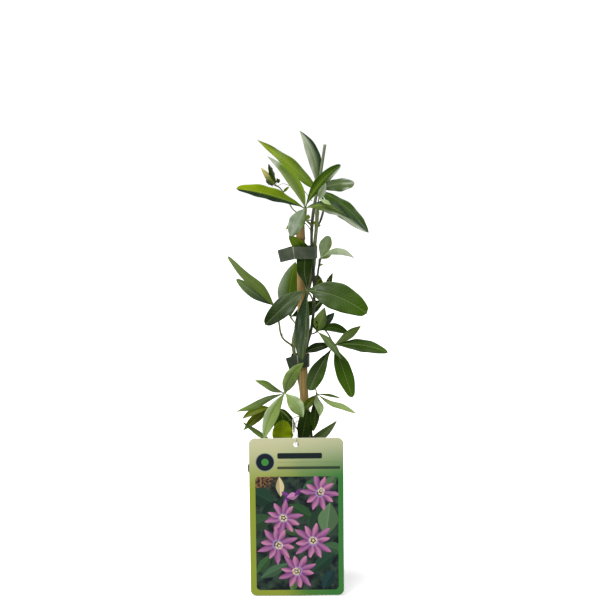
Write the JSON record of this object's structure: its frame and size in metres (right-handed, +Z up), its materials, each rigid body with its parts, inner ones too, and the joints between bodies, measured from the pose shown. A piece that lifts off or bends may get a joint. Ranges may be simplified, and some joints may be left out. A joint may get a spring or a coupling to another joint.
{
  "type": "potted passion flower plant",
  "caption": "Young passion flower climber in a round nursery pot, tied to a bamboo cane, with palmate leaves, a flower bud and a printed hang tag on a string.",
  "frame": {"origin": "centre of the pot's flat underside, where the plant stands", "axes": "+Z up along the plant, +X to the right of the hang tag as seen from its printed side, +Y from the tag to the back of the pot"},
  "size_m": [0.1495, 0.0962, 0.4328],
  "materials": {
    "pot": "satin black injection-moulded plastic",
    "soil": "loose damp potting soil",
    "cane": "dry split-free bamboo",
    "vine": "green to brown stem bark",
    "leaf": "waxy dark green leaf",
    "leaf_pale": "satin paler green leaf",
    "bud": "closed cream-green bud",
    "tie": "dark grey-green binding tape",
    "card": "printed plastic card",
    "string": "white twisted string"
  },
  "bodies": {
    "root": {"pot": "pot", "soil": "soil", "cane": "cane", "vine_long": "vine", "vine_short": "vine", "leaf_crown_front": "leaf", "leaf_crown_back": "leaf", "leaf_young_crown": "leaf_pale", "leaf_young_right": "leaf_pale", "leaf_middle_front": "leaf", "leaf_middle_back": "leaf", "leaf_left": "leaf_pale", "leaf_right": "leaf", "leaf_right_small": "leaf_pale", "leaf_right_slender": "leaf", "leaf_low_left": "leaf_pale", "leaf_low_left_back": "leaf", "leaf_base_bright": "leaf_pale", "leaf_base_dark": "leaf", "leaf_base_right": "leaf", "leaf_low_right": "leaf_pale", "leaf_tiny": "leaf_pale", "flower_bud": "bud", "bud_stalk": "vine", "bud_bract_a": "leaf", "bud_bract_b": "leaf", "bud_bract_c": "leaf", "tendril_upper": "vine", "tendril_middle": "vine", "tie_upper": "tie", "tie_lower": "tie", "hang_tag": "card", "tag_string": "string"}
  },
  "joints": []
}
